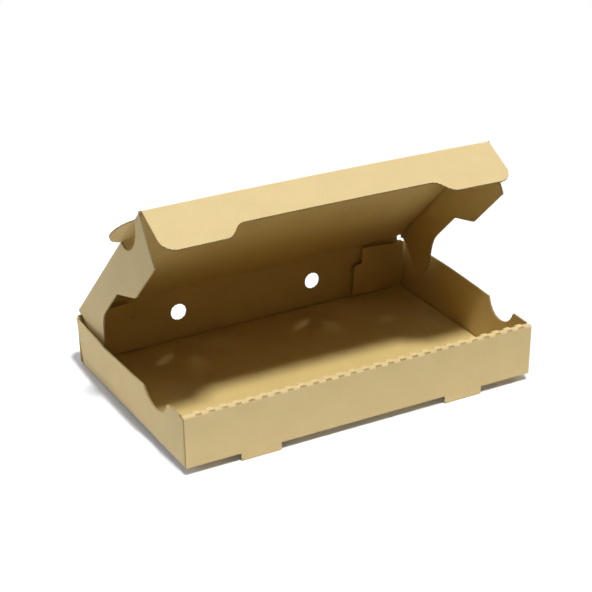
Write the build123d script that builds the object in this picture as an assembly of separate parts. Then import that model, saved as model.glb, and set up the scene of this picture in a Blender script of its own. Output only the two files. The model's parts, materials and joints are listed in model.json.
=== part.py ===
"""Flatbread box: a shallow carton folded from one sheet of corrugated board, its lid propped open.

The tray is folded square, then everything is tipped back to stand on the two front feet and the
rear bottom edge. Lengths are in millimetres and angles in degrees, with +Z up and the front at -Y.
"""
import os
from math import atan2, degrees, radians, tan

from build123d import *

# Board
board = 1.6               # thickness of the corrugated sheet
fold_gap = 0.3            # air between two layers that lie on each other
bend_radius = 1.0         # radius of a fold, on the middle of the board
overrun = 5.0             # how far a cut reaches past what it cuts

# Tray
tray_width = 355.6
tray_depth = 228.0
wall_height = 50.0        # front and side walls
hinge_height = 56.0       # fold between the rear wall and the lid
rear_lean = 1.56          # outward lean of the rear wall
hinge_relief = 5.5        # cut from the rear wall at each end of the hinge, above the side walls
ridge_depth = 7.0         # roll-over front wall, from face to face
inner_wall_clearance = 0.5   # inner front wall to each side wall
front_flap_reach = 50.0   # corner flaps inside the roll-over wall
rear_flap_reach = 58.0    # corner flaps inside the rear wall, below their step
rear_flap_top_reach = 48.5   # the same above the step
rear_flap_step = 35.5     # height of the step
rear_flap_corner = 4.0    # corner radius at the step
rear_flap_rise = 2.8      # free end of their top edge above the side wall
perforation_pitch = 12.7  # cuts along both creases of the ridge
perforation_length = 6.35
perforation_depth = 1.2

# Feet, cut from the floor and left in the plane of the front wall
foot_width = 39.5
foot_drop = 7.2
foot_spacing = 209.4
foot_corner = 2.0
tab_clearance = 0.5       # lock tab of the inner wall in the slot that a foot leaves

# Vents
vent_diameter = 16.6      # round holes in the rear wall
vent_spacing = 147.8
vent_height = 30.1
side_vent_chord = 43.0    # side notch, lid tongue and flap opening have one outline
side_vent_depth = 15.8
side_vent_reach = 178.0   # from the lid's hinge to the middle of the side vents

# Lid
lid_side_clearance = 0.7  # closed lid to each side wall
lid_front_clearance = 4.7   # front fold of the closed lid to the inner front wall
lid_open = 44.6           # from level
hinge_clearance = 0.4     # air between a panel's cut edge and the rounded fold beside it

# Lid flaps
flap_clearance = 6.2      # lowest edges above the floor, with the lid closed
front_flap_waist = 34.6   # depth of the front flap between its lobes
front_flap_angle = 108.0  # between the lid and the front flap
front_flap_inset = 2.0    # from the lid's side edge
front_flap_corner = 14.0
lobe_length = 56.5        # flat bottom edge of a lobe ends here, from the flap's side edge
lobe_rise = 20.0          # length of the curve from a lobe to the waist
side_flap_waist = 30.0
rear_lobe_clearance = 4.4   # rear lobes of the side flaps above the floor, with the lid closed
side_flap_rear = 5.8      # from the hinge to the flap's rear edge
side_flap_corner = 6.0
side_flap_front_share = 0.986    # places along the side flap, as shares of the lid's depth
side_flap_low_share = 0.942
side_flap_tip_share = 0.648
side_flap_notch_share = 0.505
side_flap_waist_share = 0.311
side_flap_lobe_share = 0.083
curve_pull_share = 0.45          # handles of the soft curves, as a share of their length

half_board = board / 2
half_width = tray_width / 2
half_depth = tray_depth / 2
wall_x = half_width - half_board
front_y = half_board - half_depth
rear_y = half_depth - half_board
floor_z = half_board
ridge_z = wall_height - half_board
inner_y = ridge_depth - half_board - half_depth
layer_gap = board + fold_gap
floor_end = half_depth - layer_gap
flap_y = floor_end - half_board
hinge_y = rear_y + (hinge_height - floor_z) * tan(radians(rear_lean))
panel_start = half_board + hinge_clearance
lid_width = tray_width - 2 * (board + lid_side_clearance)
lid_depth = hinge_y + half_depth - ridge_depth - lid_front_clearance
flap_depth = hinge_height - board - flap_clearance
rear_lobe_depth = hinge_height - board - rear_lobe_clearance
vent_radius = (side_vent_chord**2 / 4 + side_vent_depth**2) / (2 * side_vent_depth)
vent_setback = vent_radius - side_vent_depth


def bent_sheet(points):
    """Section of the board along the given middle line, with rounded folds."""
    return trace(FilletPolyline(*points, radius=bend_radius), board)


def across(section, width):
    """A section in Y and Z, carried across the box."""
    return extrude(Plane.YZ * section, width / 2, both=True)


def along(section, depth):
    """A section in X and Z, carried from front to rear about the middle."""
    return extrude(Plane.XZ * section, depth / 2, both=True)


def block(low, high):
    """A box between two corners."""
    size = [b - a for a, b in zip(low, high)]
    return Pos(*low) * Box(*size, align=(Align.MIN, Align.MIN, Align.MIN))


def soft_curve(start, end):
    """S-shaped edge that leaves and arrives along X."""
    pull = (end[0] - start[0]) * curve_pull_share
    return Bezier(start, (start[0] + pull, start[1]), (end[0] - pull, end[1]), end)


def at_feet(shape):
    """One copy of a shape at each foot."""
    return [Pos(X=side * foot_spacing / 2) * shape for side in (-1, 1)]


def floor_and_side_folds():
    low_wall = floor_z + board + bend_radius
    points = [(-wall_x, low_wall), (-wall_x, floor_z), (wall_x, floor_z), (wall_x, low_wall)]
    return along(bent_sheet(points), 2 * floor_end)


def front_wall():
    """Outer wall and ridge over the full width, and the narrower inner wall behind them."""
    ridge_middle = (front_y + inner_y) / 2
    outer = [(inner_y - bend_radius, ridge_z), (front_y, ridge_z), (front_y, floor_z), (-floor_end, floor_z)]
    inner = [(ridge_middle, ridge_z), (inner_y, ridge_z), (inner_y, layer_gap)]
    inner_width = tray_width - 2 * (board + inner_wall_clearance)
    return across(bent_sheet(outer), tray_width) + across(bent_sheet(inner), inner_width)


def rear_wall():
    """Leaning rear wall with its rounded top fold, relieved at both ends, and round vents."""
    points = [(floor_end, floor_z), (rear_y, floor_z), (hinge_y, hinge_height)]
    section = bent_sheet(points) + Pos(hinge_y, hinge_height) * Circle(half_board)
    holes = [Pos(side * vent_spacing / 2, vent_height) * Circle(vent_diameter / 2) for side in (-1, 1)]
    drill = along(Sketch() + holes, tray_depth + 2 * overrun)
    relief = block(
        (half_width - hinge_relief, 0, wall_height),
        (half_width + overrun, half_depth + overrun, hinge_height + overrun),
    )
    return across(section, tray_width) - drill - relief - mirror(relief, Plane.YZ)


def rear_flap_trim():
    """What is cut from the right rear corner flap to leave its step."""
    past_end = wall_x - rear_flap_reach - overrun
    step_end = wall_x - rear_flap_top_reach
    corner_x = wall_x - rear_flap_reach + rear_flap_corner
    corner_z = rear_flap_step - rear_flap_corner
    outline = Polyline(
        (corner_x, corner_z),
        (corner_x, rear_flap_step),
        (step_end, rear_flap_step),
        (step_end, wall_height + overrun),
        (past_end, wall_height + overrun),
        (past_end, corner_z),
        close=True,
    )
    trim = make_face(outline) - Pos(corner_x, corner_z) * Circle(rear_flap_corner)
    return Pos(Y=flap_y) * along(trim, 2 * board)


def rear_flap_top():
    """Upper part of the right rear corner flap, whose top edge rises towards its free end."""
    fold_end = wall_x - 2 * bend_radius
    step_end = wall_x - rear_flap_top_reach
    outline = Polyline(
        (fold_end, rear_flap_step),
        (fold_end, wall_height),
        (step_end, wall_height + rear_flap_rise),
        (step_end, rear_flap_step),
        close=True,
    )
    return Pos(Y=flap_y) * along(make_face(outline), board)


def right_side_wall():
    """Side wall with the corner flaps at both of its ends."""
    points = [
        (wall_x - rear_flap_reach, flap_y),
        (wall_x, flap_y),
        (wall_x, -flap_y),
        (wall_x - front_flap_reach, -flap_y),
    ]
    wall = Pos(Z=layer_gap) * extrude(bent_sheet(points), wall_height - layer_gap)
    notch = Pos(hinge_y - side_vent_reach, wall_height + vent_setback) * Circle(vent_radius)
    under_ridge = block(
        (0, -half_depth, wall_height - layer_gap),
        (tray_width, ridge_depth + fold_gap - half_depth, wall_height + overrun),
    )
    return wall - across(notch, 2 * tray_width) - under_ridge - rear_flap_trim() + rear_flap_top()


def feet():
    """Feet below the front wall, with square roots and rounded toes."""
    root = floor_z + board + bend_radius
    foot = Pos(Y=(root - foot_drop) / 2) * RectangleRounded(foot_width, root + foot_drop, foot_corner)
    return at_feet(Pos(Y=front_y) * along(foot, board))


def floor_slots():
    """Openings that the feet leave in the floor."""
    slot = block(
        (-foot_width / 2, -half_depth - overrun, -overrun),
        (foot_width / 2, ridge_depth + tab_clearance - half_depth, floor_z + bend_radius),
    )
    return at_feet(slot)


def lock_tabs():
    """Tabs of the inner wall that stand in the floor slots."""
    half_tab = foot_width / 2 - tab_clearance
    tab = block((-half_tab, inner_y - half_board, 0), (half_tab, inner_y + half_board, 2 * layer_gap))
    return at_feet(tab)


def ridge_perforations():
    """Rows of cuts that let the sheet fold twice over the ridge."""
    count = round(tray_width / perforation_pitch)
    cut = Box(perforation_length, 2 * perforation_depth, 2 * perforation_depth)
    row = Pos(0, (front_y + inner_y) / 2, wall_height)
    return [row * place * cut for place in GridLocations(perforation_pitch, ridge_depth, count, 2)]


def tray():
    wall = right_side_wall()
    front = front_wall() - ridge_perforations()
    body = floor_and_side_folds() + front + rear_wall() - floor_slots()
    return body + wall + mirror(wall, Plane.YZ) + feet() + lock_tabs()


def lid():
    """Lid panel, level with its hinge on the X axis, with a vent tongue at each side."""
    panel = Pos(Y=-(panel_start + lid_depth) / 2) * Rectangle(lid_width, lid_depth - panel_start)
    tongue_x = lid_width / 2 - vent_setback
    tongues = [Pos(side * tongue_x, -side_vent_reach) * Circle(vent_radius) for side in (-1, 1)]
    front_fold = across(Pos(X=-lid_depth) * Circle(half_board), lid_width)
    return extrude(panel + tongues, half_board, both=True) + front_fold


def front_flap():
    """Front flap hanging from its fold, before it is swung to its angle."""
    side = lid_width / 2 - front_flap_inset
    lobe_end = side - lobe_length
    waist_start = lobe_end - lobe_rise
    sides = FilletPolyline(
        (0, -panel_start),
        (side, -panel_start),
        (side, -flap_depth),
        (lobe_end, -flap_depth),
        radius=(0, front_flap_corner),
    )
    curve = soft_curve((lobe_end, -flap_depth), (waist_start, -front_flap_waist))
    waist = Polyline((waist_start, -front_flap_waist), (0, -front_flap_waist), (0, -panel_start))
    half = make_face(Curve() + [sides, curve, waist])
    return along(half + mirror(half, Plane.YZ), board)


def right_side_flap():
    """Side flap hanging below the lid's right edge, in the lid's own frame."""
    top = -(half_board + fold_gap)
    lobe_start = -side_flap_lobe_share * lid_depth
    waist_start = -side_flap_waist_share * lid_depth
    rear = FilletPolyline(
        (waist_start, top),
        (-side_flap_rear, top),
        (-side_flap_rear, -rear_lobe_depth),
        (lobe_start, -rear_lobe_depth),
        radius=(0, side_flap_corner),
    )
    curve = soft_curve((lobe_start, -rear_lobe_depth), (waist_start, -side_flap_waist))
    front = Polyline(
        (waist_start, -side_flap_waist),
        (-side_flap_notch_share * lid_depth, -side_flap_waist),
        (-side_flap_tip_share * lid_depth, -flap_depth),
        (-side_flap_low_share * lid_depth, -flap_depth),
        (-side_flap_front_share * lid_depth, top),
        (waist_start, top),
    )
    opening = Pos(-side_vent_reach, vent_setback) * Circle(vent_radius + fold_gap)
    outline = make_face(Curve() + [rear, curve, front]) - opening
    return Pos(X=(lid_width - board) / 2) * across(outline, board)


lid_place = Pos(0, hinge_y, hinge_height) * Rot(X=-lid_open)
front_flap_place = lid_place * Pos(Y=-lid_depth) * Rot(X=90 - front_flap_angle)
right_flap = right_side_flap()
nodes = {
    "tray": tray(),
    "lid": lid_place * lid(),
    "lid_front_flap": front_flap_place * front_flap(),
    "lid_left_flap": lid_place * mirror(right_flap, Plane.YZ),
    "lid_right_flap": lid_place * right_flap,
}

# Tip the box back onto its feet and rear edge, with the origin on the table under its middle
tilt = Rot(X=-degrees(atan2(foot_drop, tray_depth - board)))
extent = Compound([tilt * node for node in nodes.values()]).bounding_box()
stand = Pos(0, -extent.center().Y, -extent.min.Z) * tilt

os.makedirs("parts", exist_ok=True)
for name, node in nodes.items():
    export_step(stand * node, f"parts/{name}.step")
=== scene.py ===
"""Looks of the flatbread box: corrugated kraft board with real liners and flutes, folded and creased."""
import json
from math import atan2, ceil, cos, degrees, inf, pi, radians, sin, sqrt, tan

import bmesh
import bpy
import numpy as np
from mathutils import Matrix, Vector
from mathutils.geometry import delaunay_2d_cdt


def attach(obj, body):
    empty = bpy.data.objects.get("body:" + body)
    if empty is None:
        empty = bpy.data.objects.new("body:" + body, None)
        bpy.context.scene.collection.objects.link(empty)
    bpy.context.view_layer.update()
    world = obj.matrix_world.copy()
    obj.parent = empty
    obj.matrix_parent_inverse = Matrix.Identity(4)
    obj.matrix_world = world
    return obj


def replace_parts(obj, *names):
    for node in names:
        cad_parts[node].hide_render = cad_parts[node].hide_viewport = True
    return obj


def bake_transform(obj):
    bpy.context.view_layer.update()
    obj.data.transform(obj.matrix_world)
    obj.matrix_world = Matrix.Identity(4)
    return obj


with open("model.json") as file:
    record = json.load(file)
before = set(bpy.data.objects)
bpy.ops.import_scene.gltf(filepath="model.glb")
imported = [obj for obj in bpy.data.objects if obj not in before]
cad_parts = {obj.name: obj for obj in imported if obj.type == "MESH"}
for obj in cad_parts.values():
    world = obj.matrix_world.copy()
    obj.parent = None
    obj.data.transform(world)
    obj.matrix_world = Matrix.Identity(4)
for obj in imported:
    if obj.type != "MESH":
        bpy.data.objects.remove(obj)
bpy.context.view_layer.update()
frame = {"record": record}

MM = 0.001

# Board, in millimetres as everything below
board = 1.6
half_board = board / 2
liner = 0.3
medium = 0.2
core = half_board - liner
flute_pitch = 3.2
flute_steps = 6
cut_recess = 0.2
serration = 0.32
bend_outer = 1.8
bend_inner = 1.0
foot_outer = 1.0
foot_inner = 0.2
bend_steps = 6
bend_middle = bend_outer - half_board
crease_flat = 0.9
crease_squeeze = 0.15
tail = 0.6
tail_inset = 0.06
panel_start = bend_outer + crease_flat

# How finely the faces are divided
cut_step = flute_pitch / 5
plain_step = 6.0
panel_step = 14.0
wave_step = 24.0
strip_step = 8.0
grid_margin = 0.3
sharp_angle = radians(32)

# Tray, folded square with the origin under the middle of its floor
half_width = 177.8
half_depth = 114.0
wall_height = 50.0
hinge_height = 56.0
hinge_y = 114.703
rear_lean = radians(1.56)
ridge_depth = 7.0
layer_gap = 1.9
floor_end = half_depth - layer_gap
wall_x = half_width - half_board
flap_y = floor_end - half_board
flap_fold = wall_x - bend_middle - crease_flat
inner_half = 175.7
front_flap_reach = 50.0
rear_flap_reach = 60.8
rear_flap_top_reach = 51.4
rear_flap_step = 37.4
rear_flap_corner = 4.0
rear_flap_rise = 4.2
rear_flap_lift = 2.2
rear_flap_swing = {-1: radians(1.6), 1: radians(2.9)}
foot_half = 19.75
foot_place = 104.7
foot_drop = 7.2
foot_corner = 2.0
tab_half = 19.25
slot_depth = 7.5
perforation_pitch = 12.7
perforation_length = 6.35
perforation_count = 27
perforation_shift = 1.65
vent_radius = 8.3
vent_place = 73.9
vent_shift = -2.2
vent_tilt = 0.4
vent_height = 30.1
side_vent_depth = 15.8
side_vent_chord = 43.0
side_vent_reach = 178.0
disc_radius = (side_vent_chord**2 / 4 + side_vent_depth**2) / (2 * side_vent_depth)
disc_setback = disc_radius - side_vent_depth
hinge_end = {-1: 174.8, 1: 172.3}
rear_end = {-1: 179.4, 1: 177.8}
shoulder_rise = 1.0
rear_bow = 2.4
ridge_outer = 2.3
ridge_inner = 1.3
tooth_top = 49.65
tooth_front = 112.3
bridge_lap = 0.3
tooth_rear = 106.3

# Lid and its flaps
lid_half = 175.5
lid_depth = 217.0
lid_open = radians(44.6)
front_angle = radians(108)
flap_depth = 48.2
front_waist = 34.5
front_inset = 2.0
front_corner = 14.0
lobe_length = 58.2
lobe_rise = 22.5
side_waist = 30.0
rear_lobe = 50.0
side_rear = 5.8
side_rear_top = ((1.9, 1.4), (4.4, 2.0), (5.4, 4.5), (9.0, 5.5))
side_corner = 6.0
side_front_u = 0.986 * lid_depth
side_low_u = 0.942 * lid_depth
side_tip_u = 0.648 * lid_depth
side_notch_u = 0.505 * lid_depth
side_waist_u = 0.311 * lid_depth
side_lobe_u = 0.083 * lid_depth
curve_pull = 0.45
flap_gap = 0.3
flap_top = bend_middle + crease_flat
crease_reach = 2.4

# How the folded board gives, with -1 for the left side and 1 for the right: the walls flare (front, rear) and
# bow (depth, power), the lid's edges stand out (rear, front), the lid twists, and its side flaps belly out
flare = {-1: (0.5, 4.2), 1: (1.2, 3.0)}
wall_bow = {-1: (4.2, 1), 1: (4.0, 2)}
lid_edge = {-1: (178.2, 176.6), 1: (176.8, 176.0)}
lid_rise = 1.5
lid_twist = 2.2
lid_bow = 1.3
flap_foot = 176.0
flap_belly = {-1: 2.4, 1: 1.5}

# Frames
base = frame["record"]["mounts"][0]
origin = np.array(base["pos_m"])
axis_x = np.array([1.0, 0.0, 0.0])
axis_z = -np.array(base["axis"])
axis_y = np.cross(axis_z, axis_x)
lid_u = np.array([0.0, -cos(lid_open), sin(lid_open)])
lid_w = np.array([0.0, sin(lid_open), cos(lid_open)])
hinge = np.array([0.0, hinge_y, hinge_height])
front_fold = hinge + lid_depth * lid_u
front_turn = pi - front_angle
front_d = cos(front_turn) * lid_u - sin(front_turn) * lid_w
front_n = cos(front_turn) * lid_w + sin(front_turn) * lid_u
rear_dir = np.array([0.0, sin(rear_lean), cos(rear_lean)])
rear_out = np.array([0.0, cos(rear_lean), -sin(rear_lean)])


def to_row(points):
    """Millimetres in the box's own frame to metres in the part's frame."""
    p = np.asarray(points, float).reshape(-1, 3) * MM
    return origin + p @ np.array([axis_x, axis_y, axis_z])


def unit(vector):
    return vector / np.linalg.norm(vector)


# Outlines
def line(*points):
    return [np.array(p, float) for p in points]


def arc(centre, radius, start, end, steps=24):
    """Points on a circle, from one angle in degrees to another."""
    angles = np.radians(np.linspace(start, end, steps + 1))
    return [np.array([centre[0] + radius * cos(a), centre[1] + radius * sin(a)]) for a in angles]


def soft_curve(start, end, steps=20):
    """S-shaped edge that leaves and arrives along the second coordinate."""
    (s0, t0), (s1, t1) = start, end
    pull = (t1 - t0) * curve_pull
    knots = np.array([(s0, t0), (s0, t0 + pull), (s1, t1 - pull), (s1, t1)])
    k = np.linspace(0, 1, steps + 1)[:, None]
    shares = np.hstack([(1 - k)**3, 3 * k * (1 - k)**2, 3 * k * k * (1 - k), k**3])
    return list(shares @ knots)


def swap(points):
    return [p[::-1] for p in points]


def mirrored(half, between=()):
    """A half outline for positive first coordinates, closed by its mirror image."""
    return half + list(between) + [np.array([-p[0], p[1]]) for p in reversed(half)]


def sampled(points, step):
    """A closed outline with its long edges divided, each point once."""
    out = []
    for a, b in zip(points, points[1:] + points[:1]):
        gap = np.linalg.norm(b - a)
        if gap < 1e-6:
            continue
        count = max(1, ceil(gap / step))
        out += [a + (b - a) * k / count for k in range(count)]
    return np.array(out)


def serrated(loop):
    """A die-cut edge is a little wavy where it crosses the flutes."""
    ahead = np.roll(loop, -1, 0) - np.roll(loop, 1, 0)
    ahead /= np.linalg.norm(ahead, axis=1)[:, None]
    across = np.stack([ahead[:, 1], -ahead[:, 0]], 1)
    wave = np.sin(2 * pi * loop[:, 0] / flute_pitch) * np.abs(ahead[:, 0])
    return loop + across * (serration * wave)[:, None]


def crossing_pairs(loops, s):
    """The stretches along t in which the line at s lies inside the outline."""
    found = []
    for loop in loops:
        a, b = loop, np.roll(loop, -1, 0)
        hit = (a[:, 0] <= s) != (b[:, 0] <= s)
        share = (s - a[hit, 0]) / (b[hit, 0] - a[hit, 0])
        found += list(a[hit, 1] + share * (b[hit, 1] - a[hit, 1]))
    found.sort()
    return [(lo, hi) for lo, hi in zip(found[::2], found[1::2])]


def inside(points, loops):
    state = np.zeros(len(points), bool)
    for loop in loops:
        for a, b in zip(loop, np.roll(loop, -1, 0)):
            cross = (a[1] <= points[:, 1]) != (b[1] <= points[:, 1])
            rise = b[1] - a[1] if abs(b[1] - a[1]) > 1e-12 else 1e-12
            at = a[0] + (points[:, 1] - a[1]) / rise * (b[0] - a[0])
            state ^= cross & (points[:, 0] < at)
    return state


# Meshes
class Piece:
    """Faces of one piece in the box's frame, with a sheet coordinate at each vertex."""

    def __init__(self):
        self.points, self.sheet, self.faces, self.marks = [], [], [], []
        self.count = 0

    def add(self, points, sheet, faces, mark=0):
        self.points.append(np.asarray(points, float))
        self.sheet.append(np.asarray(sheet, float))
        self.faces += [[self.count + i for i in face] for face in faces]
        self.marks += [mark] * len(faces) if np.isscalar(mark) else list(mark)
        self.count += len(points)

    def object(self, name, materials):
        points, sheet = to_row(np.vstack(self.points)), np.vstack(self.sheet)
        mesh = bpy.data.meshes.new(name)
        mesh.from_pydata(points.tolist(), [], self.faces)
        for material in materials:
            mesh.materials.append(material)
        mesh.polygons.foreach_set("material_index", np.array(self.marks, np.int32))
        attribute = mesh.attributes.new("sheet", "FLOAT_VECTOR", "POINT")
        flat = np.hstack([sheet, np.zeros((len(sheet), 1))]).astype(np.float32)
        attribute.data.foreach_set("vector", flat.ravel())
        shape = bmesh.new()
        shape.from_mesh(mesh)
        bmesh.ops.recalc_face_normals(shape, faces=shape.faces)
        shape.to_mesh(mesh)
        shape.free()
        mesh.polygons.foreach_set("use_smooth", np.ones(len(mesh.polygons), bool))
        mesh.set_sharp_from_angle(angle=sharp_angle)
        made = bpy.data.objects.new(name, mesh)
        bpy.context.scene.collection.objects.link(made)
        return made


# Places of the three materials in every piece. The third is painted shade: a darker, browner copy of the
# liner colour for faces inside the shaded box
LINER, CUT, SHADED_INSIDE = 0, 1, 2


def filled(loops):
    """Outline points first, then a grid of inner points, and the triangles between them."""
    rim = np.vstack(loops)
    lo, hi = rim.min(0), rim.max(0)
    grid = [np.linspace(lo[k], hi[k], max(2, ceil((hi[k] - lo[k]) / panel_step)) + 1)[1:-1] for k in (0, 1)]
    inner = np.array(np.meshgrid(*grid)).reshape(2, -1).T
    inner = inner[inside(inner, loops)]
    if len(inner):
        near = np.min(np.linalg.norm(inner[:, None] - rim[None], axis=2), axis=1)
        inner = inner[near > panel_step * grid_margin]
    points = np.vstack([rim, inner])
    edges, first = [], 0
    for loop in loops:
        n = len(loop)
        edges += [(first + i, first + (i + 1) % n) for i in range(n)]
        first += n
    verts, _, faces, *_ = delaunay_2d_cdt([Vector(p) for p in points], edges, [], 0, 1e-5)
    verts = np.array([v[:] for v in verts])
    faces = np.array(faces)
    middle = verts[faces].mean(1)
    return verts, faces[inside(middle, loops)], edges


def add_liners(piece, loops, place, shade_reach):
    """Two liners. The inner one takes the painted-shade copy of the liner colour, and is as pale as the outer
    beyond the given reach to either side.
    """
    verts, faces, edges = filled(loops)
    n = len(verts)
    reach = np.abs(verts[faces].mean(1)[:, 0])
    # Within the reach the inner liner gets the darker painted-shade colour
    inner = list(np.where(reach > shade_reach, LINER, SHADED_INSIDE))
    outer = [LINER] * len(faces)
    for low, high, skin in ((-half_board, -core, inner), (core, half_board, outer)):
        points = np.vstack([place(verts, low), place(verts, high)])
        skins = [list(f[::-1]) for f in faces] + [list(f + n) for f in faces]
        rims = [[a, b, b + n, a + n] for a, b in edges]
        piece.add(points, np.vstack([verts, verts]), skins + rims, skin * 2 + [CUT] * len(rims))


def add_flutes(piece, loops, place):
    """The wavy medium between the liners, cut to the outline and set back a little from it."""
    rim = np.vstack(loops)
    low, high = rim[:, 0].min() + cut_recess, rim[:, 0].max() - cut_recess
    rows = np.linspace(low, high, max(2, ceil((high - low) / flute_pitch * flute_steps)) + 1)
    runs = []
    for s in rows:
        wide = [(a, b) for a, b in crossing_pairs(loops, s) if b - a > 3 * cut_recess]
        spans = [(a + cut_recess, b - cut_recess) for a, b in wide]
        if runs and len(runs[-1][-1][1]) == len(spans):
            runs[-1].append((s, spans))
        else:
            runs.append([(s, spans)])
    for run in runs:
        for k in range(len(run[0][1]) if len(run) > 1 else 0):
            add_wave(piece, np.array([(s, *spans[k]) for s, spans in run]), place)


def add_wave(piece, rows, place):
    """A stretch of the medium. Each row gives a place across the flutes, then a start and an end."""
    count = max(1, ceil((rows[:, 2] - rows[:, 1]).max() / wave_step))
    share = np.linspace(0, 1, count + 1)
    t = rows[:, 1:2] + (rows[:, 2:3] - rows[:, 1:2]) * share
    flat = np.stack([np.repeat(rows[:, 0], count + 1), t.ravel()], 1)
    height = (core - medium / 2) * np.sin(2 * pi * flat[:, 0] / flute_pitch)
    n, width = len(flat), count + 1
    points = np.vstack([place(flat, height - medium / 2), place(flat, height + medium / 2)])
    cells = [(r * width + c, r * width + c + 1) for r in range(len(rows) - 1) for c in range(count)]
    faces = [[a, b, b + width, a + width] for a, b in cells]
    faces += [[a + n + width, b + n + width, b + n, a + n] for a, b in cells]
    rim = list(range(width)) + [r * width + count for r in range(1, len(rows))]
    rim += list(range(n - 2, n - width - 1, -1)) + [r * width for r in range(len(rows) - 2, 0, -1)]
    faces += [[b, a, a + n, b + n] for a, b in zip(rim, rim[1:] + rim[:1])]
    piece.add(points, np.vstack([flat, flat]), faces, CUT)


def add_panel(piece, outlines, place, cut=True, shade_reach=inf):
    """A flat piece of board: two liners and the medium between them."""
    loops = [sampled(o, cut_step if cut else plain_step) for o in outlines]
    if cut:
        loops = [serrated(loop) for loop in loops]
    add_liners(piece, loops, place, shade_reach)
    add_flutes(piece, loops, place)


def bend_section(centre, start, end, outer, inner):
    """Section of a fold: crushed board round a centre, with a flat tail that ends inside each panel."""
    flat = panel_start - outer
    angles = np.radians(np.linspace(start, end, bend_steps + 1))
    turn = np.sign(end - start)

    def at(radius, angle, beyond=0.0):
        spoke = np.array([cos(angle), sin(angle)])
        return centre + radius * spoke + beyond * turn * np.array([-spoke[1], spoke[0]])

    def side(radius, inset):
        first, last = angles[0], angles[-1]
        near = [at(radius + inset, first, -flat - tail), at(radius, first, -flat)]
        far = [at(radius, last, flat), at(radius + inset, last, flat + tail)]
        return near + [at(radius, a) for a in angles] + far

    return np.array(side(outer, -tail_inset) + side(inner, tail_inset)[::-1])


def add_bend(piece, centre, start, end, spans, place, outer=bend_outer, inner=bend_inner):
    add_strip(piece, bend_section(np.array(centre), start, end, outer, inner), spans, place)


def add_strip(piece, section, spans, place):
    """A closed section, out along the outside and back along the inside, carried along the given spans."""
    n = len(section)
    # The inner side of a bend gets the darker painted-shade colour of the box's inside
    skins = [LINER] * (n // 2 - 1) + [CUT] + [SHADED_INSIDE] * (n // 2 - 1) + [CUT]
    steps = np.linalg.norm(np.diff(section[: n // 2], axis=0), axis=1)
    around = np.concatenate([[0], np.cumsum(steps)])
    around = np.concatenate([around, around[::-1]])
    for lo, hi in spans:
        stops = np.linspace(lo, hi, max(1, ceil((hi - lo) / strip_step)) + 1)
        points = np.vstack([place(section, np.full(n, s)) for s in stops])
        sheet = np.vstack([np.stack([np.full(n, s), around], 1) for s in stops])
        faces = [
            [k * n + i, k * n + (i + 1) % n, (k + 1) * n + (i + 1) % n, (k + 1) * n + i]
            for k in range(len(stops) - 1)
            for i in range(n)
        ]
        caps = [
            [first + i, first + i + 1, first + n - 2 - i, first + n - 1 - i]
            for first in (0, (len(stops) - 1) * n)
            for i in range(n // 2 - 1)
        ]
        piece.add(points, sheet, faces + caps, skins * (len(stops) - 1) + [CUT] * len(caps))


def flared(points):
    """The tray's walls lean out towards their tops, more at the rear, and bow out between their ends."""
    p = np.array(points, float)
    share = (p[:, 1] + half_depth) / (2 * half_depth)

    def lean(side):
        (front, rear), (bow, power) = flare[side], wall_bow[side]
        peak = power**power / (power + 1)**(power + 1)
        return side * (front + (rear - front) * share + bow * share**power * (1 - share) / peak)

    out = np.where(p[:, 0] < 0, lean(-1), lean(1)) * np.abs(p[:, 0]) / half_width
    p[:, 0] += out * (p[:, 2] - half_board) / (wall_height - half_board)
    return p


def stack(x, y, z):
    x, y, z = np.broadcast_arrays(x, y, z)
    return np.stack([x, y, z], 1).astype(float)


# Tray. Each at_ function takes a flat panel's points, and heights off its middle, to their folded place
def at_floor(p, h):
    return stack(p[:, 0], p[:, 1], half_board - h)


def at_front(p, h):
    return flared(stack(p[:, 0], half_board - half_depth - h, p[:, 1]))


def at_ridge(p, h):
    return flared(stack(p[:, 0], p[:, 1], wall_height - half_board + h))


def at_inner(p, h):
    return flared(stack(p[:, 0], ridge_depth - half_board - half_depth + h, p[:, 1]))


def at_side(side):
    return lambda p, h: flared(stack(side * (wall_x + h), p[:, 1], p[:, 0]))


def at_rear(p, h):
    """The rear wall bows in a little between its corner flaps."""
    share = np.clip(1 - (p[:, 0] / (wall_x - rear_flap_reach))**2, 0, 1)
    bow = rear_bow * share * np.sin(pi * p[:, 1] / hinge_height)
    foot = hinge - hinge_height * rear_dir
    return foot + np.outer(p[:, 0], axis_x) + np.outer(p[:, 1], rear_dir) + np.outer(h - bow, rear_out)


def at_rear_flap(side):
    def place(p, h):
        swing = (wall_x - bend_middle - p[:, 1]) * tan(rear_flap_swing[side])
        return flared(stack(side * p[:, 1], flap_y + h - swing, p[:, 0]))
    return place


def at_front_flap(side):
    return lambda p, h: flared(stack(side * p[:, 1], -flap_y - h, p[:, 0]))


def floor_outline():
    x, y = half_width - panel_start, half_depth - panel_start
    slot = slot_depth - half_depth
    right = line(
        (0, -y), (foot_place - foot_half, -y), (foot_place - foot_half, slot),
        (foot_place + foot_half, slot), (foot_place + foot_half, -y), (x, -y), (x, y), (0, y),
    )
    return mirrored(right)


def front_outline():
    low = panel_start
    a, b, toe = foot_place - foot_half, foot_place + foot_half, serration - foot_drop
    right = line((0, low), (a, low))
    right += arc((a + foot_corner, toe + foot_corner), foot_corner, 180, 270, 6)
    right += arc((b - foot_corner, toe + foot_corner), foot_corner, 270, 360, 6)
    right += line((b, low), (half_width, low))
    return mirrored(right, teeth(half_width, wall_height - panel_start, tooth_top)[::-1])


def ridge_outline():
    front = teeth(half_width, panel_start - half_depth, -tooth_front)
    rear = teeth(half_width, ridge_depth - half_depth - panel_start, -tooth_rear)
    return front + rear[::-1]


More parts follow.
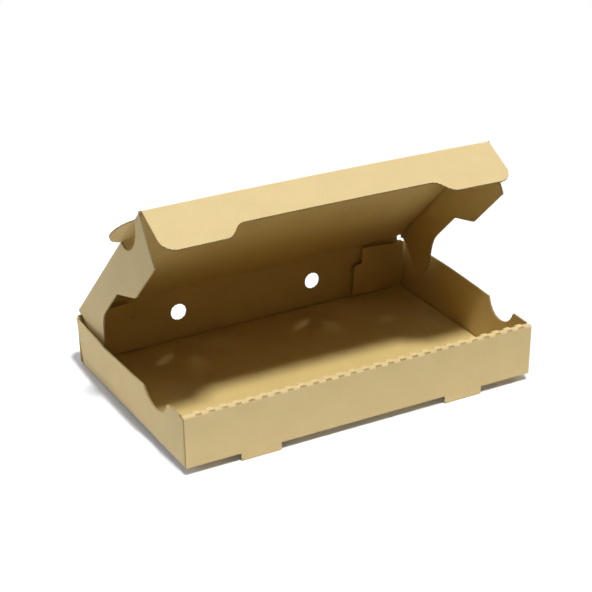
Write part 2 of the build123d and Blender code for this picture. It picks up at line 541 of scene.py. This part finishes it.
def inner_outline():
    a, b = foot_place - tab_half, foot_place + tab_half
    right = line((0, layer_gap), (a, layer_gap), (a, 0), (b, 0), (b, layer_gap), (inner_half, layer_gap))
    return mirrored(right, teeth(inner_half, wall_height - panel_start, wall_height - bend_outer)[::-1])


def side_outline():
    """In height and depth, because the flutes of the side walls run from front to rear."""
    end = flap_y - bend_middle - crease_flat
    low_top = wall_height - layer_gap
    middle = hinge_y - side_vent_reach
    half_chord = degrees(atan2(side_vent_chord / 2, disc_setback))
    notch = arc((wall_height + disc_setback, middle), disc_radius, 180 + half_chord, 180 - half_chord, 40)
    front = ridge_depth + flap_gap - half_depth
    return (
        line((panel_start, -end), (panel_start, end), (wall_height, end))
        + notch[::-1]
        + line((wall_height, front), (low_top, front), (low_top, -end))
    )


def rear_outline():
    shoulder, high = wall_height + shoulder_rise, hinge_height - crease_reach

    def half(side):
        wide, narrow = side * rear_end[side], side * hinge_end[side]
        return line((wide, panel_start), (wide, wall_height), (narrow, shoulder), (narrow, high))
    return half(1) + half(-1)[::-1]


def rear_flap_outline():
    end, step_end = wall_x - rear_flap_reach, wall_x - rear_flap_top_reach
    corner = (rear_flap_step - rear_flap_corner, end + rear_flap_corner)
    return (
        line((layer_gap, flap_fold), (wall_height, flap_fold))
        + line((wall_height + rear_flap_rise, step_end), (rear_flap_step, step_end))
        + arc(corner, rear_flap_corner, 0, -90, 8)
        + line((layer_gap + rear_flap_lift, end))
    )


def front_flap_outline():
    low, high, end = layer_gap, wall_height - layer_gap, wall_x - front_flap_reach
    return line((low, flap_fold), (high, flap_fold), (high, end), (low, end))


def ring(centre, radius):
    return arc(centre, radius, 0, 360, 72)[:-1]


def cut_ends():
    """Where each perforation of a ridge crease starts and stops."""
    places = np.arange(perforation_count) - (perforation_count - 1) / 2
    middles = perforation_shift + places * perforation_pitch
    return [(c - perforation_length / 2, c + perforation_length / 2) for c in middles]


def teeth(limit, rest, out):
    """A panel's edge along a ridge crease, where the cut stretches stand out of the fold."""
    cuts = [line((a, rest), (a, out), (b, out), (b, rest)) for a, b in cut_ends()]
    return line((-limit, rest)) + sum(cuts, []) + line((limit, rest))


def bridges(limit):
    """Stretches of a ridge crease between its perforations."""
    ends = [-limit + bridge_lap, *np.ravel(cut_ends()), limit - bridge_lap]
    return [(a - bridge_lap, b + bridge_lap) for a, b in zip(ends[::2], ends[1::2]) if b > a]


def along_x(section, x):
    return flared(stack(x, section[:, 0], section[:, 1]))


def along_y(side):
    return lambda section, y: flared(stack(side * section[:, 0], y, section[:, 1]))


def along_z(side):
    return lambda section, z: flared(stack(side * section[:, 0], section[:, 1], z))


def build_tray():
    tray = Piece()
    add_panel(tray, [floor_outline()], at_floor, cut=False)
    add_panel(tray, [front_outline()], at_front)
    add_panel(tray, [ridge_outline()], at_ridge)
    add_panel(tray, [inner_outline()], at_inner)
    vents = [
        ring((side * vent_place + vent_shift, vent_height - side * vent_tilt), vent_radius)
        for side in (-1, 1)
    ]
    add_panel(tray, [rear_outline(), *vents], at_rear)
    foot, low = (foot_outer, foot_inner), foot_outer
    front, rear = foot_outer - half_depth, half_depth - foot_outer
    near, far = foot_place - foot_half, foot_place + foot_half
    beside_feet = [(-half_width, -far), (-near, near), (far, half_width)]
    add_bend(tray, (front, low), 270, 180, beside_feet, along_x, *foot)
    ridge, high = (ridge_outer, ridge_inner), wall_height - ridge_outer
    ridge_front, ridge_rear = ridge_outer - half_depth, ridge_depth - half_depth - ridge_outer
    add_bend(tray, (ridge_front, high), 180, 90, bridges(half_width), along_x, *ridge)
    add_bend(tray, (ridge_rear, high), 90, 0, bridges(inner_half), along_x, *ridge)
    add_bend(tray, (rear, low), -90, -degrees(rear_lean), [(-half_width, half_width)], along_x, *foot)
    side_foot, whole_depth = (half_width - foot_outer, low), [(-floor_end, floor_end)]
    fold_x, fold_y = wall_x - bend_middle, flap_y - bend_middle
    for side in (-1, 1):
        add_panel(tray, [side_outline()], at_side(side))
        add_panel(tray, [rear_flap_outline()], at_rear_flap(side))
        add_panel(tray, [front_flap_outline()], at_front_flap(side))
        add_bend(tray, side_foot, 270, 360, whole_depth, along_y(side), *foot)
        add_bend(tray, (fold_x, fold_y), 0, 90, [(layer_gap, wall_height)], along_z(side))
        add_bend(tray, (fold_x, -fold_y), 0, -90, [(layer_gap, wall_height - layer_gap)], along_z(side))
    return tray


# Lid
def twisted(points, x, u):
    """The lid bows up along its front, and one front corner stands a little higher than the other."""
    across = np.asarray(x) / lid_half
    lift = (lid_rise - lid_twist * across + lid_bow * (1 - across**2)) * np.asarray(u) / lid_depth
    return points + np.outer(np.broadcast_to(lift, len(points)), lid_w)


def edge_at(side, u):
    """How far the lid reaches to one side: a little further to the left, the more so at the hinge."""
    rear, front = lid_edge[side]
    return rear + (front - rear) * np.asarray(u) / lid_depth


def spread(x, u):
    x = np.asarray(x)
    return x / lid_half * np.where(x < 0, edge_at(-1, u), edge_at(1, u))


def at_lid(p, h):
    points = hinge + np.outer(spread(p[:, 0], p[:, 1]), axis_x) + np.outer(p[:, 1], lid_u)
    return twisted(points + np.outer(np.broadcast_to(h, len(p)), lid_w), p[:, 0], p[:, 1])


def at_tuck_flap(p, h):
    points = front_fold + np.outer(spread(p[:, 0], lid_depth), axis_x) + np.outer(p[:, 1], front_d)
    points = points + np.outer(np.broadcast_to(h, len(p)), front_n)
    return twisted(points, p[:, 0], np.full(len(p), lid_depth))


def at_side_flap(side):
    """Depth below the lid comes first, then the distance from the hinge. The foot clears the wall."""
    def place(p, h):
        drop = (p[:, 0] - flap_top) / (flap_depth - flap_top)
        edge = edge_at(side, p[:, 1])
        along, down = p[:, 1] / lid_depth, np.clip(drop, 0, 1)
        belly = flap_belly[side] * (4 * along * (1 - along)) * (4 * down * (1 - down))
        out = edge + (flap_foot - edge) * np.clip(drop, 0, None) + belly - half_board + h
        points = hinge + np.outer(side * out, axis_x) + np.outer(p[:, 1], lid_u) - np.outer(p[:, 0], lid_w)
        return twisted(points, np.full(len(p), side * lid_half), p[:, 1])
    return place


def lid_outline():
    edge, low, high = lid_half - panel_start, crease_reach, lid_depth - bend_outer
    centre = (lid_half - disc_setback, side_vent_reach)
    swing = degrees(np.arccos((edge - centre[0]) / disc_radius))
    rear = side_rear_top[0][1]
    right = line((0, low), (hinge_end[1], low), (hinge_end[1], rear), (edge, rear))
    right += arc(centre, disc_radius, -swing, swing, 48)
    ear, ear_end = side_front_u + flap_gap, lid_depth - flap_gap
    side = lid_half - front_inset + flap_gap
    right += line((edge, ear), (lid_half, ear), (lid_half, ear_end), (side, ear_end), (side, high), (0, high))
    return mirrored(right)


def tuck_outline():
    side, top = lid_half - front_inset, bend_outer
    lobe_end = side - lobe_length
    right = line((0, top), (side, top))
    right += arc((side - front_corner, flap_depth - front_corner), front_corner, 0, 90, 12)
    right += swap(soft_curve((flap_depth, lobe_end), (front_waist, lobe_end - lobe_rise)))
    return mirrored(right + line((0, front_waist)))


def side_flap_outline():
    top = flap_top
    radius = disc_radius + flap_gap
    half_chord = degrees(np.arccos((disc_setback + top) / radius))
    opening = arc((-disc_setback, side_vent_reach), radius, half_chord, -half_chord, 40)
    low = arc((rear_lobe - side_corner, side_rear + side_corner), side_corner, -90, 0, 8)
    return (
        line(*side_rear_top)
        + low
        + soft_curve((rear_lobe, side_lobe_u), (side_waist, side_waist_u))
        + line((side_waist, side_notch_u), (flap_depth, side_tip_u))
        + line((flap_depth, side_low_u), (top, side_front_u))
        + opening
    )


def crease_strip(ends, spans, place):
    """Creased board between two panels, from where it meets the one to where it meets the other."""
    k = np.linspace(0, 1, 2 * bend_steps + 1)
    away, on = (np.array(e, float) for e in ends)
    middle = np.outer((1 - k)**3, away) + np.outer(k**3, on)
    middle = np.vstack([away + tail * unit(away), middle, on + tail * unit(on)])
    run = np.gradient(middle, axis=0)
    run /= np.linalg.norm(run, axis=1)[:, None]
    out = np.stack([-run[:, 1], run[:, 0]], 1)
    thick = half_board * (1 - crease_squeeze * np.sin(pi * k)**2)
    thick = np.concatenate([[half_board - tail_inset], thick, [half_board - tail_inset]])[:, None]
    strip = Piece()
    add_strip(strip, np.vstack([middle - out * thick, (middle + out * thick)[::-1]]), spans, place)
    return strip


def hinge_crease():
    """Section in the plane of y and z, about the hinge."""
    ends = (-crease_reach * rear_dir[1:], crease_reach * lid_u[1:])
    spans = [(-hinge_end[-1], hinge_end[1])]
    return crease_strip(ends, spans, lambda p, x: hinge + stack(x, p[:, 0], p[:, 1]))


def tuck_crease():
    ends = (-bend_outer * lid_u[1:], bend_outer * front_d[1:])
    limit = lid_half - front_inset

    def place(p, x):
        points = front_fold + stack(spread(x, lid_depth), p[:, 0], p[:, 1])
        return twisted(points, x, np.full(len(p), lid_depth))
    return crease_strip(ends, [(-limit, limit)], place)


def side_crease(side):
    """Quarter bend from the lid's edge into a side flap, left out where the tongue is."""
    half_chord = sqrt((disc_radius + flap_gap)**2 - (disc_setback + bend_middle)**2)
    start, stop = side_vent_reach - half_chord, side_vent_reach + half_chord
    spans = [(side_rear_top[0][1], start), (stop, side_front_u)]

    def place(p, u):
        across = side * (p[:, 0] + edge_at(side, u) - lid_half)
        points = hinge + np.outer(across, axis_x) + np.outer(u, lid_u) + np.outer(p[:, 1], lid_w)
        return twisted(points, np.full(len(p), side * lid_half), u)
    strip = Piece()
    add_bend(strip, (lid_half - bend_outer, half_board - bend_outer), 90, 0, spans, place)
    return strip


# Kraft board, and how strongly its fibres, flecks and flute lines show
white = (1, 1, 1)
grain_share = 0.7
fleck_share = 0.6
line_tone = 0.99
line_relief = 0.12
relief_strength = 0.5
relief_height = 0.03 * MM
rough_swing = 0.06
gloss = 0.1


def new_material(name):
    material = bpy.data.materials.new(name)
    material.use_nodes = True
    nodes = material.node_tree.nodes
    return material, nodes, material.node_tree.links, nodes["Principled BSDF"]


def add_node(nodes, kind, **values):
    node = nodes.new(kind)
    for key, value in values.items():
        setattr(node, key, value)
    return node


def sheet_noise(nodes, links, scale, detail, stretch):
    """Noise in the sheet's own millimetres, drawn out along one direction."""
    source = add_node(nodes, "ShaderNodeAttribute", attribute_name="sheet")
    mapping = add_node(nodes, "ShaderNodeMapping")
    mapping.inputs["Scale"].default_value = stretch
    noise = add_node(nodes, "ShaderNodeTexNoise")
    noise.inputs["Scale"].default_value = scale
    noise.inputs["Detail"].default_value = detail
    links.new(source.outputs["Vector"], mapping.inputs["Vector"])
    links.new(mapping.outputs["Vector"], noise.inputs["Vector"])
    return noise.outputs["Fac"]


def ramp(nodes, links, source, stops):
    node = add_node(nodes, "ShaderNodeValToRGB")
    band = node.color_ramp
    while len(band.elements) < len(stops):
        band.elements.new(0.5)
    for element, (place, colour) in zip(band.elements, stops):
        element.position = place
        element.color = (*colour, 1)
    links.new(source, node.inputs["Fac"])
    return node.outputs["Color"]


def mixed(nodes, links, kind, share, a, b):
    node = add_node(nodes, "ShaderNodeMix", data_type="RGBA", blend_type=kind)
    node.inputs["Factor"].default_value = share
    links.new(a, node.inputs[6])
    links.new(b, node.inputs[7])
    return node.outputs[2]


def washboard(nodes, links):
    """The faint lines that the flutes print through the liner."""
    source = add_node(nodes, "ShaderNodeAttribute", attribute_name="sheet")
    split = add_node(nodes, "ShaderNodeSeparateXYZ")
    turn = add_node(nodes, "ShaderNodeMath", operation="MULTIPLY")
    turn.inputs[1].default_value = 2 * pi / flute_pitch
    wave = add_node(nodes, "ShaderNodeMath", operation="SINE")
    links.new(source.outputs["Vector"], split.inputs["Vector"])
    links.new(split.outputs["X"], turn.inputs[0])
    links.new(turn.outputs[0], wave.inputs[0])
    return wave.outputs[0]


def kraft(name, pale, deep, fleck, rough):
    material, nodes, links, shader = new_material(name)
    cloud = sheet_noise(nodes, links, scale=0.035, detail=3, stretch=(1, 1, 1))
    fibre = sheet_noise(nodes, links, scale=1.1, detail=5, stretch=(0.45, 2.2, 1))
    speck = sheet_noise(nodes, links, scale=0.9, detail=2, stretch=(0.5, 1.6, 1))
    tone = ramp(nodes, links, cloud, [(0.3, deep), (0.7, pale)])
    grain = ramp(nodes, links, fibre, [(0.25, (0.9, 0.89, 0.87)), (0.6, white), (0.85, (1.04, 1.03, 1.02))])
    dots = ramp(nodes, links, speck, [(0.0, fleck), (0.27, fleck), (0.34, white)])
    colour = mixed(nodes, links, "MULTIPLY", grain_share, tone, grain)
    colour = mixed(nodes, links, "MULTIPLY", fleck_share, colour, dots)
    wave = washboard(nodes, links)
    lines = add_node(nodes, "ShaderNodeMapRange")
    lines.inputs["From Min"].default_value = -1
    lines.inputs["To Min"].default_value = line_tone
    lines.inputs["To Max"].default_value = 1.0
    links.new(wave, lines.inputs["Value"])
    colour = mixed(nodes, links, "MULTIPLY", 1.0, colour, lines.outputs["Result"])
    links.new(colour, shader.inputs["Base Color"])
    roughness = add_node(nodes, "ShaderNodeMapRange")
    roughness.inputs["To Min"].default_value = rough - rough_swing
    roughness.inputs["To Max"].default_value = rough + rough_swing
    links.new(fibre, roughness.inputs["Value"])
    links.new(roughness.outputs["Result"], shader.inputs["Roughness"])
    relief = add_node(nodes, "ShaderNodeMath", operation="MULTIPLY_ADD")
    relief.inputs[1].default_value = line_relief
    links.new(wave, relief.inputs[0])
    links.new(fibre, relief.inputs[2])
    bump = add_node(nodes, "ShaderNodeBump")
    bump.inputs["Strength"].default_value = relief_strength
    bump.inputs["Distance"].default_value = relief_height
    links.new(relief.outputs[0], bump.inputs["Height"])
    links.new(bump.outputs["Normal"], shader.inputs["Normal"])
    shader.inputs["Specular IOR Level"].default_value = gloss
    return material


kraft_face = kraft("kraft_face", (0.725, 0.551, 0.263), (0.69, 0.522, 0.244), (0.86, 0.82, 0.76), 0.78)
kraft_cut = kraft("kraft_cut", (0.56, 0.425, 0.195), (0.5, 0.375, 0.17), (0.8, 0.76, 0.7), 0.9)
# Painted shade: the inside liner is a darker, browner copy of the face colour, standing in for the shade and
# interreflection inside the box
kraft_shaded_inside = kraft("kraft_shaded_inside", (0.65, 0.481, 0.188), (0.615, 0.453, 0.172), (0.86, 0.82, 0.76), 0.8)
materials = (kraft_face, kraft_cut, kraft_shaded_inside)

# Pieces on their bodies
tray = build_tray().object("tray_board", materials)
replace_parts(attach(tray, "tray"), "tray")

lid = Piece()
add_panel(lid, [lid_outline()], at_lid, shade_reach=lid_half)
lid = lid.object("lid_board", materials)
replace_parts(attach(lid, "lid"), "lid")

tuck = Piece()
add_panel(tuck, [tuck_outline()], at_tuck_flap)
tuck = tuck.object("front_flap_board", materials)
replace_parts(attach(tuck, "lid_front_flap"), "lid_front_flap")

for side, name in ((-1, "left"), (1, "right")):
    flap = Piece()
    add_panel(flap, [side_flap_outline()], at_side_flap(side))
    flap = flap.object(f"{name}_flap_board", materials)
    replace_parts(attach(flap, f"lid_{name}_flap"), f"lid_{name}_flap")


def across_fold(piece, name, bodies, middle):
    """A crease between two bodies, made in place with its transform baked in."""
    made = piece.object(name, materials)
    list(bodies)
    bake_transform(made)


across_fold(hinge_crease(), "hinge_crease", ("tray", "lid"), hinge)
across_fold(tuck_crease(), "front_flap_crease", ("lid", "lid_front_flap"), front_fold)
for side, name in ((-1, "left"), (1, "right")):
    slant = bend_middle * cos(pi / 4)
    out, up = edge_at(side, lid_depth / 2) - bend_outer + slant, half_board - bend_outer + slant
    middle, bodies = hinge + out * side * axis_x + up * lid_w, ("lid", f"lid_{name}_flap")
    across_fold(side_crease(side), f"{name}_flap_crease", bodies, middle)


# Stage, light and camera
floor_middle = (-0.2, 0.1, 0)
floor_size = (1.2, 1.1, 1)
floor_glow = 0.05
floor_tone = (0.86, 0.86, 0.86, 1)


def seen_ray(nodes, links):
    """1 for what the camera sees, also in a reflection or through glass, and 0 for light on a surface."""
    path = add_node(nodes, "ShaderNodeLightPath")
    seen = path.outputs["Is Camera Ray"]
    for other in ("Is Glossy Ray", "Is Transmission Ray"):
        either = add_node(nodes, "ShaderNodeMath", operation="MAXIMUM")
        links.new(seen, either.inputs[0])
        links.new(path.outputs[other], either.inputs[1])
        seen = either.outputs[0]
    return seen


def pale_floor():
    """A white sheet under the box, a little brighter to the camera than to the light that it throws back."""
    bpy.ops.mesh.primitive_grid_add(x_subdivisions=2, y_subdivisions=2, size=1, location=floor_middle)
    ground = bpy.context.object
    ground.name = "floor"
    ground.scale = floor_size
    material, nodes, links, shader = new_material("pale_floor")
    shader.inputs["Base Color"].default_value = floor_tone
    shader.inputs["Roughness"].default_value = 0.9
    shader.inputs["Specular IOR Level"].default_value = 0.1
    shader.inputs["Emission Color"].default_value = (1, 1, 1, 1)
    glow = add_node(nodes, "ShaderNodeMath", operation="MULTIPLY")
    glow.inputs[1].default_value = floor_glow
    links.new(seen_ray(nodes, links), glow.inputs[0])
    links.new(glow.outputs[0], shader.inputs["Emission Strength"])
    ground.data.materials.append(material)


def sun(name, towards, level, spread, tint=(1, 1, 1)):
    """Distant soft lamp. A level of 1 shows a face that it meets squarely as its colour is written."""
    lamp = bpy.data.lights.new(name, "SUN")
    lamp.energy = level * pi
    lamp.color = tint
    lamp.angle = radians(spread)
    made = bpy.data.objects.new(name, lamp)
    made.rotation_euler = Vector(towards).to_track_quat("Z", "Y").to_euler()
    bpy.context.scene.collection.objects.link(made)


def bulb(name, place, level, radius, tint):
    """Soft lamp at a place of its own, equally strong at any distance, with levels as for a distant one."""
    lamp = bpy.data.lights.new(name, "POINT")
    lamp.energy = 4 * pi**2 * level
    lamp.color = tint
    lamp.shadow_soft_size = radius
    lamp.use_nodes = True
    nodes, links = lamp.node_tree.nodes, lamp.node_tree.links
    even = add_node(nodes, "ShaderNodeLightFalloff")
    even.inputs["Strength"].default_value = 1.0
    links.new(even.outputs["Constant"], nodes["Emission"].inputs["Strength"])
    made = bpy.data.objects.new(name, lamp)
    made.location = place
    bpy.context.scene.collection.objects.link(made)


def surround(level):
    """Even light from all round, with a white background behind the object."""
    world = bpy.data.worlds.new("surround")
    bpy.context.scene.world = world
    world.use_nodes = True
    nodes, links = world.node_tree.nodes, world.node_tree.links
    strength = add_node(nodes, "ShaderNodeMapRange")
    strength.inputs["To Min"].default_value = level
    links.new(seen_ray(nodes, links), strength.inputs["Value"])
    links.new(strength.outputs["Result"], nodes["Background"].inputs["Strength"])
    nodes["Background"].inputs["Color"].default_value = (1, 1, 1, 1)


def photo_camera():
    """The photograph's own viewpoint."""
    aim, distance = Vector((-0.00223, 0.01023, 0.07553)), 1.75097
    azimuth, elevation, roll = radians(28.846), radians(26.929), radians(0.292)
    back = Vector((-sin(azimuth) * cos(elevation), -cos(azimuth) * cos(elevation), sin(elevation)))
    lens = bpy.data.cameras.new("camera")
    lens.lens = 114.193
    lens.sensor_width = 36
    camera = bpy.data.objects.new("camera", lens)
    turn = (-back).to_track_quat("-Z", "Y").to_matrix() @ Matrix.Rotation(roll, 3, "Z")
    camera.matrix_world = Matrix.Translation(aim + back * distance) @ turn.to_4x4()
    bpy.context.scene.collection.objects.link(camera)
    bpy.context.scene.camera = camera


pale_floor()
bulb("key", (-0.1, -1.326, 4.0), 1.1, 0.257, (0.9, 0.93, 1))
sun("overhead", (0, 0, 1), 0.13, 70)
sun("left", (-0.7, 0.6, 0.4), 0.325, 40, (0.66, 0.75, 1.04))
sun("right", (0.9, -0.1, 0.42), 0.06, 60)
sun("rear_right", (0.58, 0.635, 0.51), 0.13, 5)
sun("rear_left", (0.10, 0.89, 0.445), 0.07, 5)
surround(0.02)
photo_camera()
bpy.context.scene.view_settings.view_transform = "Standard"
